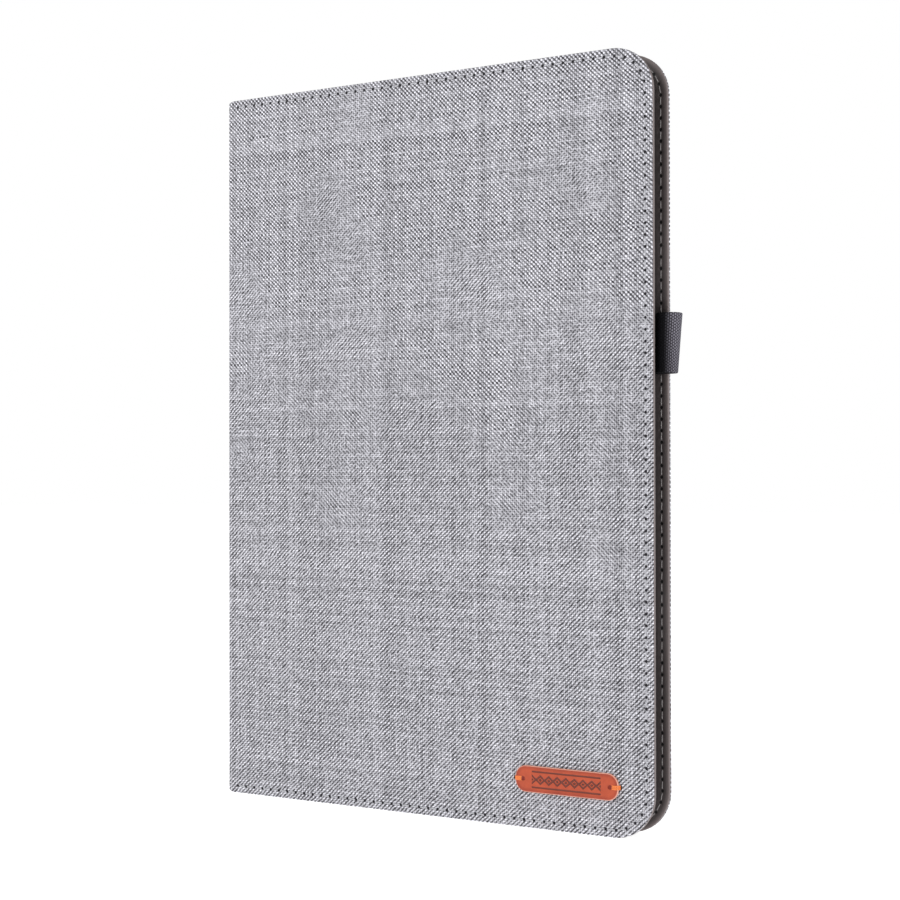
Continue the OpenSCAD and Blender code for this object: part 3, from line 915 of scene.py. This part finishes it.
# %% [markdown]
# ### Sewing along an edge
# A seam is a row of points, one for each stitch, with the direction of the seam and the way out
# of the cloth stored on each. The points lie on the same path as the needle holes of the sheets,
# half a pitch further on, so each strand runs from hole to hole.


# %% Sewing helpers
def sew(name, spots, **sizes):
    """Strands on spots, each a (place, along, up) in millimetres."""
    piece = mesh_piece(name, [place for place, _, _ in spots], [])
    for attribute, column in (("along", 1), ("up", 2)):
        values = piece.data.attributes.new(attribute, "FLOAT_VECTOR", "POINT").data
        values.foreach_set("vector", np.array([spot[column] for spot in spots], float).ravel())
    modifier = piece.modifiers.new("Stitches", "NODES")
    modifier.node_group = STITCHES
    for item in STITCHES.interface.items_tree:
        if item.in_out == "INPUT" and item.name in sizes:
            modifier[item.identifier] = sizes[item.name]
    return settle(piece)


def seam_spots(points, up):
    """One spot per stitch along a path of (x, y, z) points."""
    stitches = along_path(points)
    columns = np.array(points, float).T
    spots = []
    for s in np.arange(round(stitches[-1] - 0.5)) + 0.5:
        ends = [np.array([np.interp(s + d, stitches, c) for c in columns]) for d in (-0.4, 0.4)]
        spots.append(((ends[0] + ends[1]) / 2, ends[1] - ends[0], up))
    return spots


SEAM_SIZES = {"Length": 2.75 * MM, "Thickness": 0.46 * MM, "Dive": 0.45 * MM, "Sway": 0.03}
INNER_SIZES = {"Length": 2.6 * MM, "Thickness": 0.36 * MM, "Dive": 0.4 * MM, "Sway": 0.04}
PROUD = 0.02      # the strand's middle over the face


def open_seam(x0, face, depth, up_y):
    lift = -PROUD if depth == 0 else PROUD
    points = [face(x, z, depth + lift) for x, z in open_outline(x0, SEAM_INSET)]
    return seam_spots(points, (0, up_y, 0))


def strip_seam(path, depth):
    spots = []
    side = 1 if depth else -1
    for z in (SEAM_INSET, HEIGHT - SEAM_INSET):
        points = [(x + nx * (depth + side * PROUD), y + ny * (depth + side * PROUD), z)
                  for x, y, nx, ny in path]
        _, _, nx, ny = path[0]
        spots += seam_spots(points, (side * nx, side * ny, 0))
    return spots


print("the spine's seam takes", len(strip_seam(spine_path, 0)), "stitches")

# %% [markdown]
# ### Seams, outside and inside
# Every free edge has an outer seam in the cloth's grey and an inner one in the lining's darker
# thread. The two are sewn by one loop over the covers, and each pair stands in for one CAD node.

# %% Seams
LOOP_LOW, LOOP_HIGH = low("pen_loop").z, high("pen_loop").z


def near_loop(spot):
    """The pen loop's tab covers this part of the stand's inner seam."""
    x, _, z = spot[0]
    return x > X_OPEN - 5 and LOOP_LOW - 0.6 < z < LOOP_HIGH + 0.6


for node, body, outside, inside in (
        ("front_cover", "front_cover", open_seam(X_PANEL, front_face, 0, -1),
         open_seam(X_PANEL, front_face, COVER_T, 1)),
        ("spine", "spine", strip_seam(spine_path, 0), strip_seam(spine_path, COVER_T)),
        ("rear_cover", "rear_half", strip_seam(fixed_path, 0), strip_seam(fixed_path, COVER_T)),
        ("stand", "stand", open_seam(X_STAND, rear_face, 0, 1),
         [spot for spot in open_seam(X_STAND, rear_face, STAND_T, -1) if not near_loop(spot)])):
    outer = sew("seam_" + node, outside, Thread=SEAM_THREAD, Seed=7, **SEAM_SIZES)
    inner = sew("inner_seam_" + node, inside, Thread=LINING_THREAD, Seed=11, **INNER_SIZES)
    for piece in (outer, inner):
        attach(piece, body)
        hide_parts(node + "_stitching")
    print(node, "has", len(outside), "stitches outside and", len(inside), "inside")

# %% [markdown]
# ## The label
# A small leather tab with round ends is sewn on by a bar tack at each end. It is pressed thin at
# its rim and stands a little proud in the middle. The stamp is only an ornament: a row of small
# diamonds between two lines.


# %% Label and tacks
def lozenge(x0, x1, z0, z1, radius, inset=0.0, steps=7):
    """Points round a rectangle with round corners, drawn in by inset."""
    r = max(radius - inset, 0.05)
    x0, x1, z0, z1 = x0 + inset, x1 - inset, z0 + inset, z1 - inset
    points = []
    for x, z, quarter in ((x1 - r, z0 + r, -1), (x1 - r, z1 - r, 0), (x0 + r, z1 - r, 1),
                          (x0 + r, z0 + r, 2)):
        for a in np.linspace(quarter, quarter + 1, steps) * math.pi / 2:
            points.append((x + r * math.cos(a), z + r * math.sin(a)))
    return points


LABEL_TOP = low("label").y
label_rings, label_weave, label_seam = [], [], []
for inset, y in ((0.25, Y_FRONT + 0.02), (0.0, Y_FRONT - 0.2), (0.0, LABEL_TOP + 0.22),
                 (0.05, LABEL_TOP + 0.1), (0.16, LABEL_TOP + 0.02), (0.3, LABEL_TOP),
                 (0.42, LABEL_TOP), (2.8, LABEL_TOP)):
    ring = lozenge(*LABEL, 3.9, inset, steps=13)
    label_rings.append((ring, y))
    label_weave += [(x - LABEL_X, z - LABEL_Z) for x, z in ring]
    label_seam += [(0.0, inset)] * len(ring)
label = stacked("label_leather", label_rings, LABEL_LEATHER, label_weave, label_seam)
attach(label, "front_cover")
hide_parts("label")

TACK_L = 3.3
tack_spots = []
for side in (-1, 1):
    middle = LABEL_X + side * (LABEL_HALF - TACK_L / 2 + 0.45)
    for k in range(4):
        z = LABEL_Z + (k - 1.5) * 0.36
        tack_spots.append(((middle, LABEL_TOP, z), (1, 0, 0), (0, -1, 0)))
tacks = sew("tacks_label", tack_spots, Thread=TACK_THREAD, Seed=3, Length=TACK_L * MM,
            Thickness=0.4 * MM, Dive=0.9 * MM, Sway=0.07)
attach(tacks, "front_cover")
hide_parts("label_tacks")
print("label", round(LABEL[1] - LABEL[0], 1), "x", round(LABEL[3] - LABEL[2], 1))

# %% [markdown]
# ## The pen loop
# The loop is a band of ribbed elastic, bent into a rounded ring. A plain ring would be too clean:
# the ribs are part of the shape, the two edges are rounded, and the lower edge hangs back a
# little, as a worn loop does.

# %% Outline of the pen loop
LOOP_BACK = high("pen_loop").y
LOOP_FRONT = low("pen_loop").y
LOOP_OUT = high("pen_loop").x
LOOP_IN, LOOP_R, BAND_T, RIB = X_OPEN - 2.1, 3.8, 1.0, 0.8


def loop_ring(inset):
    """The loop's outline in plan at a depth in the band, with a rib every RIB millimetres."""
    outline = lozenge(LOOP_IN, LOOP_OUT, LOOP_FRONT, LOOP_BACK, LOOP_R, 0.0, steps=40)
    plan = np.array(outline + outline[:1])
    travelled = np.concatenate([[0], np.cumsum(np.linalg.norm(np.diff(plan, axis=0), axis=1))])
    ribs = round(travelled[-1] / RIB)
    at_rib = np.arange(ribs * 6) / 6
    where = at_rib / ribs * travelled[-1]
    points = np.array([np.interp(where, travelled, plan[:, c]) for c in (0, 1)]).T
    tangent = np.roll(points, -1, axis=0) - np.roll(points, 1, axis=0)
    normal = np.stack([tangent[:, 1], -tangent[:, 0]], axis=1)
    normal /= np.linalg.norm(normal, axis=1)[:, None]
    wave = 0.07 * (0.5 - 0.5 * np.cos(2 * math.pi * at_rib))
    outer = inset < BAND_T / 2
    return points - normal * (inset + (wave if outer else -wave))[:, None], at_rib


def hang(x, z):
    """The lower edge hangs back by up to 1.8 mm at the outside."""
    down = (LOOP_HIGH - z) / (LOOP_HIGH - LOOP_LOW)
    out = max(0.0, (x - X_OPEN) / (LOOP_OUT - X_OPEN))
    return x - 1.8 * down * out


print("loop", round(LOOP_OUT - X_OPEN, 1), "mm out,", round(LOOP_HIGH - LOOP_LOW, 1), "mm high")

# %% [markdown]
# ### The band and its tab
# The band is a sheet with two faces and two round edges, so rows of points run up its outer face,
# over the top edge, down its inner face and round the lower edge. The tab, which is sewn to the
# stand's lining, is a flat piece with rounded rims.

# %% Pen loop
half_band = BAND_T / 2
loop_rows = [(0.0, z) for z in np.linspace(LOOP_LOW + 0.4, LOOP_HIGH - 0.4, 16)]
loop_rows += [(half_band * (1 - math.cos(a)), LOOP_HIGH - 0.4 + 0.4 * math.sin(a))
              for a in np.linspace(0.4, math.pi - 0.4, 4)]
loop_rows += [(BAND_T, z) for z in np.linspace(LOOP_HIGH - 0.4, LOOP_LOW + 0.4, 16)]
loop_rows += [(half_band * (1 + math.cos(a)), LOOP_LOW + 0.4 - 0.4 * math.sin(a))
              for a in np.linspace(0.4, math.pi - 0.4, 4)]
points, weave = [], []
for inset, z in loop_rows:
    ring, at_rib = loop_ring(inset)
    points += [(hang(x, z), y, z) for x, y in ring]
    weave += [(rib, z) for rib in at_rib]
faces = bridge(len(loop_rows), len(at_rib), closed=True, ring=True)
band = outward(mesh_piece("pen_loop_band", points, faces, ELASTIC, weave), 180)
tab = stacked("pen_loop_tab", [
    (lozenge(X_OPEN - 4.2, X_OPEN + 2, LOOP_LOW + 0.02, LOOP_HIGH - 0.02, 0.3, inset), y)
    for inset, y in ((0.1, LOOP_BACK - 1), (0.0, LOOP_BACK - 0.85), (0.0, LOOP_BACK - 0.15),
                     (0.1, LOOP_BACK))], ELASTIC)
for piece in (band, tab):
    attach(piece, "stand")
    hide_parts("pen_loop")
print("loop band:", len(at_rib) // 6, "ribs,", len(points), "points")

# %% [markdown]
# ## Moulded and metal parts
# The tray, the keyboard's case and the small hardware have CAD-exact shapes, so they start from
# the CAD mesh. A copy is cleaned and its edges are rounded, since no real edge is knife-sharp and
# only a rounded edge catches light.


# %% Copies with rounded edges
def merged(node):
    """A CAD node's mesh as an editable copy in the row frame, in metres, with its seams joined."""
    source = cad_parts[node]
    shell = bmesh.new()
    shell.from_mesh(source.data)
    shell.transform(source.matrix_world)
    bmesh.ops.remove_doubles(shell, verts=shell.verts, dist=1e-6)
    return shell


def rounded_copy(node, width, finish, body):
    shell = merged(node)
    bmesh.ops.dissolve_limit(shell, angle_limit=math.radians(2), verts=shell.verts,
                             edges=shell.edges)
    for face in shell.faces:
        face.smooth = True
    mesh = bpy.data.meshes.new(node + "_rounded")
    shell.to_mesh(mesh)
    shell.free()
    mesh.materials.append(finish)
    piece = bpy.data.objects.new(node + "_rounded", mesh)
    bpy.context.scene.collection.objects.link(piece)
    bevel = piece.modifiers.new("edges", "BEVEL")
    bevel.width = width * MM
    bevel.segments = 2
    bevel.limit_method = "ANGLE"
    bevel.angle_limit = math.radians(40)
    flat = piece.modifiers.new("flat_faces", "WEIGHTED_NORMAL")
    flat.weight = 100
    settle(piece)
    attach(piece, body)
    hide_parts(node)
    return piece


print("the tray's CAD mesh has", len(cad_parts["tray"].data.vertices), "points")

# %% [markdown]
# ### Moulded, blasted and brushed finishes
# Plastic, rubber, foil and metal differ in tone, gloss and the size of their grain, but each has
# a cloudy tone and a fine grain. So one recipe takes those as numbers and makes all of them.


# %% Hard finishes
def make_moulded(name, dark, light, roughness, grain, depth, metallic=0.0):
    """A moulded, blasted or brushed surface: cloudy tone and a fine grain."""
    moulded = Finish(name, roughness=roughness, Metallic=metallic)
    where = moulded.place()
    fine = moulded.noise(where, grain, detail=3.0)
    cloudy = moulded.noise(where, 0.04, detail=3.0)
    moulded.set(Base_Color=moulded.blend(fine * 0.5 + cloudy * 0.5, dark, light),
                Roughness=roughness - 0.12 + 0.24 * cloudy)
    moulded.bump(fine, depth)
    return moulded.material


# name, dark tone, light tone, roughness, grains per millimetre, depth of the grain, metallic
HARD = {name: make_moulded(name, *values) for name, *values in (
    ("tray_rubber", (0.016, 0.015, 0.016), (0.036, 0.034, 0.036), 0.62, 2.2, 0.03),
    ("keyboard_shell", (0.018, 0.018, 0.019), (0.034, 0.034, 0.036), 0.5, 2.5, 0.03),
    ("keyboard_deck", (0.040, 0.040, 0.045), (0.062, 0.062, 0.070), 0.42, 4.0, 0.015),
    ("keycap", (0.012, 0.012, 0.013), (0.026, 0.026, 0.028), 0.46, 5.0, 0.02),
    ("key_legend", (0.55, 0.55, 0.56), (0.75, 0.75, 0.76), 0.5, 3.0, 0.0),
    ("touchpad_glass", (0.028, 0.028, 0.031), (0.038, 0.038, 0.042), 0.3, 6.0, 0.004),
    ("switch_plastic", (0.30, 0.30, 0.31), (0.45, 0.45, 0.46), 0.45, 3.0, 0.02),
    ("magnet_steel", (0.42, 0.42, 0.44), (0.62, 0.62, 0.64), 0.35, 2.5, 0.01, 1.0),
    ("contact_gold", (0.62, 0.45, 0.18), (0.80, 0.60, 0.28), 0.28, 2.5, 0.01, 1.0),
    ("cover_board", (0.22, 0.19, 0.15), (0.34, 0.30, 0.24), 0.9, 1.2, 0.05),
    ("membrane", (0.50, 0.50, 0.42), (0.66, 0.66, 0.58), 0.35, 1.0, 0.005),
    ("dome_silicone", (0.30, 0.30, 0.28), (0.42, 0.42, 0.40), 0.5, 2.0, 0.01),
    ("battery_foil", (0.30, 0.30, 0.31), (0.48, 0.48, 0.50), 0.35, 0.6, 0.03),
    ("circuit_board", (0.010, 0.075, 0.030), (0.020, 0.13, 0.055), 0.35, 1.5, 0.01),
    ("light_lens", (0.45, 0.50, 0.42), (0.62, 0.66, 0.58), 0.25, 2.0, 0.0))}

for node, width, body, look in (
        ("tray", 0.3, "rear_half", "tray_rubber"),
        ("keyboard_base", 0.15, "front_cover", "keyboard_shell"),
        ("keyboard_deck", 0.12, "front_cover", "keyboard_deck"),
        ("touchpad", 0.12, "touchpad", "touchpad_glass"),
        ("power_switch", 0.2, "power_switch", "switch_plastic")):
    piece = rounded_copy(node, width, HARD[look], body)
    print(node, "rounded:", len(piece.data.polygons), "faces")

# %% [markdown]
# ### Parts that stay inside
# Boards, magnets, the battery and the switching sheets are closed in, but a case that is cut open
# or shown half transparent still needs them to look right. They keep their CAD meshes and get a
# finish each.

# %% Finishes for the CAD nodes that stay
for finish, *nodes in (
        ("cover_board", "front_cover_board", "spine_board", "rear_cover_board", "stand_board"),
        ("magnet_steel", "closure_magnets", "wake_magnet", "stand_magnets", "tray_keepers",
         "tray_steel_strip"),
        ("contact_gold", "charging_contacts"), ("light_lens", "status_lights"),
        ("membrane", "key_membrane"), ("dome_silicone", "dome_sheet"),
        ("battery_foil", "battery"), ("circuit_board", "controller_board")):
    for node in nodes:
        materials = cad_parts[node].data.materials
        materials.clear()
        materials.append(HARD[finish])
    print(finish, "on", ", ".join(nodes))

# %% [markdown]
# ## Keys
# The typist sits at the front cover's opening edge, so a row runs from high Z on the left to low
# Z on the right. A row's CAD node holds all its plain caps, so they are taken apart into islands
# and sorted in the order in which the row is read.

# %% Rows of keys
KEY_ROWS = {
    "keys_function": ["esc"] + ["F%d" % n for n in range(1, 13)] + ["del"],
    "keys_number": list("`1234567890-="),
    "key_backspace": ["back"],
    "key_tab": ["tab"],
    "keys_upper": list("QWERTYUIOP[]\\"),
    "key_caps_lock": ["caps"],
    "keys_home": list("ASDFGHJKL;'"),
    "key_enter": ["enter"],
    "key_shift_left": ["shift"],
    "keys_lower": list("ZXCVBNM,./"),
    "key_shift_right": ["shift"],
    "key_space": [""],
    "keys_bottom": ["fn", "ctrl", "alt", "menu", "alt", "left", "up", "down", "right"],
}


def islands(node):
    """(lowest, highest) corners in millimetres of each separate solid, from high Z to low Z."""
    shell = merged(node)
    left, found = set(shell.verts), []
    while left:
        edge, group = [left.pop()], []
        while edge:
            vert = edge.pop()
            group.append(vert.co[:])
            for near in (e.other_vert(vert) for e in vert.link_edges):
                if near in left:
                    left.discard(near)
                    edge.append(near)
        corners = np.array(group) / MM
        found.append((corners.min(axis=0), corners.max(axis=0)))
    shell.free()
    return sorted(found, key=lambda box: -box[1][2])


print(sum(len(legends) for legends in KEY_ROWS.values()), "keys in", len(KEY_ROWS), "nodes")

# %% [markdown]
# ### A cap and its letters
# A cap is drawn on the box of its CAD solid: a straight skirt, a narrower top, round corners and
# a shallow dish for the finger. The letters are a Text object made into a mesh, and the arrows
# are small triangles. Both are turned to face the typist and stand a hair proud of the dish.

# %% Cap and letters
ARROW = {"left": 90, "up": 0, "down": 180, "right": -90}
TOWARDS_TYPIST = Matrix(((0, -1, 0, 0), (0, 0, 1, 0), (-1, 0, 0, 0), (0, 0, 0, 1)))


def cap_rings(lowest, highest):
    (x0, y0, z0), (x1, y1, z1) = lowest, highest
    rings = []
    for inset, y in ((0.12, y0), (0.0, y0 + 0.12), (0.0, y0 + 0.5), (0.22, y1 - 0.34),
                     (0.40, y1 - 0.10), (0.62, y1 - 0.01), (1.0, y1), (2.4, y1 - 0.05),
                     (3.4, y1 - 0.07)):
        rings.append((lozenge(x0, x1, z0, z1, 1.5, inset, steps=5), y))
    return rings


def letters(text, lowest, highest):
    """A mesh of the text, a little proud of the cap's dish."""
    if text in ARROW:
        flat = bmesh.new()
        tip = [Vector((math.sin(a), math.cos(a), 0)) * 1.3 * MM
               for a in (math.radians(t - ARROW[text]) for t in (0, 120, 240))]
        face = flat.faces.new([flat.verts.new(p) for p in tip])
        thick = bmesh.ops.extrude_face_region(flat, geom=[face])["geom"]
        bmesh.ops.translate(flat, vec=(0, 0, 0.04 * MM),
                            verts=[v for v in thick if isinstance(v, bmesh.types.BMVert)])
        mesh = bpy.data.meshes.new("arrow")
        flat.to_mesh(mesh)
        flat.free()
    else:
        curve = bpy.data.curves.new("letters", "FONT")
        curve.body = text
        curve.size = (4.6 if len(text) == 1 else 2.9) * MM
        curve.extrude = 0.02 * MM
        curve.resolution_u = 2
        curve.align_x = "CENTER"
        curve.align_y = "CENTER"
        carrier = bpy.data.objects.new("letters", curve)
        bpy.context.scene.collection.objects.link(carrier)
        mesh = bpy.data.meshes.new_from_object(
            carrier.evaluated_get(bpy.context.evaluated_depsgraph_get()))
        bpy.data.objects.remove(carrier)
    middle = (np.array(lowest) + np.array(highest)) / 2
    place = Matrix.Translation(Vector((middle[0], highest[1] - 0.05, middle[2])) * MM)
    mesh.transform(place @ TOWARDS_TYPIST)
    return mesh


print("a cap has", len(cap_rings((0, 0, 0), (10, 2, 10))), "rings; arrows:", ", ".join(ARROW))

# %% [markdown]
# ### All the caps
# The caps of a node press together, so they are joined into one mesh with two finishes: the
# plastic and the letters.

# %% Key caps
for node, legends in KEY_ROWS.items():
    boxes = islands(node)
    caps = bmesh.new()
    for (lowest, highest), text in zip(boxes, legends, strict=True):
        cap = stacked("cap", cap_rings(lowest, highest), sharp=60)
        caps.from_mesh(cap.data)
        bpy.data.objects.remove(cap)
        first = len(caps.faces)
        if text:
            caps.from_mesh(letters(text, lowest, highest))
        caps.faces.ensure_lookup_table()
        for face in caps.faces[first:]:
            face.material_index = 1
    mesh = bpy.data.meshes.new("caps_" + node)
    caps.to_mesh(mesh)
    caps.free()
    mesh.materials.append(HARD["keycap"])
    mesh.materials.append(HARD["key_legend"])
    piece = bpy.data.objects.new("caps_" + node, mesh)
    bpy.context.scene.collection.objects.link(piece)
    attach(piece, node)
    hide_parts(node)
    print(node, len(boxes), "caps")

# %% [markdown]
# ## The floor
# The case stands on a wide pale floor. A plain floor would look grey in soft light, so this one
# also glows a little, which keeps it close to white.

# %% Floor
floor_finish = Finish("studio_floor", roughness=0.8)
grain = floor_finish.noise(floor_finish.place(), 0.02)
floor_finish.set(Base_Color=floor_finish.blend(grain, (0.90, 0.90, 0.90), (0.94, 0.94, 0.94)))
floor_finish.shader.inputs["Emission Color"].default_value = (1.0, 1.0, 1.0, 1.0)
floor_finish.shader.inputs["Emission Strength"].default_value = 0.75
floor = mesh_piece("studio_floor", [(-4000, -4000, -0.05), (4000, -4000, -0.05),
                                    (4000, 4000, -0.05), (-4000, 4000, -0.05)],
                   [(0, 1, 2, 3)], floor_finish.material)
print("floor", [round(side, 1) for side in floor.dimensions], "metres")

# %% [markdown]
# ## Light
# A large soft light at the upper left makes the left side a little brighter, and a second one at
# the right fills the narrow side. The surround is white to the camera and dimmer as a light, so
# that it doesn't wash out the weave.

# %% Light
world = bpy.data.worlds.new("surround")
world.use_nodes = True
bpy.context.scene.world = world
sky = Graph(world.node_tree)
background = world.node_tree.nodes["Background"]
background.inputs["Color"].default_value = (1.0, 1.0, 1.0, 1.0)
seen = sky.node("LightPath", output="Is Camera Ray")
world.node_tree.links.new((0.36 + 0.64 * seen).socket, background.inputs["Strength"])


def soft_light(name, place, target, width, height, power):
    lamp = bpy.data.lights.new(name, "AREA")
    lamp.shape = "RECTANGLE"
    lamp.size = width
    lamp.size_y = height
    lamp.energy = power
    holder = bpy.data.objects.new(name, lamp)
    bpy.context.scene.collection.objects.link(holder)
    away = (Vector(place) - Vector(target)).normalized()
    turn = away.to_track_quat("Z", "Y").to_matrix().to_4x4()
    holder.matrix_world = Matrix.Translation(Vector(place)) @ turn
    return holder


middle_point = (0.0, 0.0, HEIGHT / 2 * MM)
for light in (soft_light("key", (-0.52, -0.55, 0.72), middle_point, 0.45, 0.45, 5.1),
              soft_light("side", (1.15, -0.12, 0.35), middle_point, 0.5, 0.5, 7.0)):
    print(light.name, "light,", round(light.data.energy, 1), "watts")

# %% [markdown]
# ## Camera
# The camera has a long lens and looks along the case's opening edge from the front and right, so
# the narrow side shows. It is placed from the middle of the case's nearest upright edge, so it
# would follow if the case were made larger.

# %% Camera
TURN = math.radians(32.2)
PITCH = math.radians(0.59)
ROLL = math.radians(0.08)
across = Vector((math.cos(TURN), math.sin(TURN), 0))
ahead = Vector((-math.sin(TURN), math.cos(TURN), 0))
upright = Vector((0, 0, 1))
anchor = Vector((X_OPEN, Y_FRONT, HEIGHT / 2)) * MM
stand_at = anchor - (across * 0.0649 + upright * 0.00847 + ahead * 0.5758)
up = upright * math.cos(PITCH) - ahead * math.sin(PITCH)
forward = upright * math.sin(PITCH) + ahead * math.cos(PITCH)
right = across * math.cos(ROLL) - up * math.sin(ROLL)
up = across * math.sin(ROLL) + up * math.cos(ROLL)
lens = bpy.data.cameras.new("camera")
lens.lens = 72.03
lens.clip_start = 0.01
lens.clip_end = 50.0
lens.dof.use_dof = False
camera = bpy.data.objects.new("camera", lens)
bpy.context.scene.collection.objects.link(camera)
camera.matrix_world = Matrix.Translation(stand_at) @ Matrix(
    (right, up, -forward)).transposed().to_4x4()
bpy.context.scene.camera = camera
bpy.context.scene.view_settings.view_transform = "Standard"
print("camera", [round(v, 3) for v in stand_at])

# %% [markdown]
# ## End
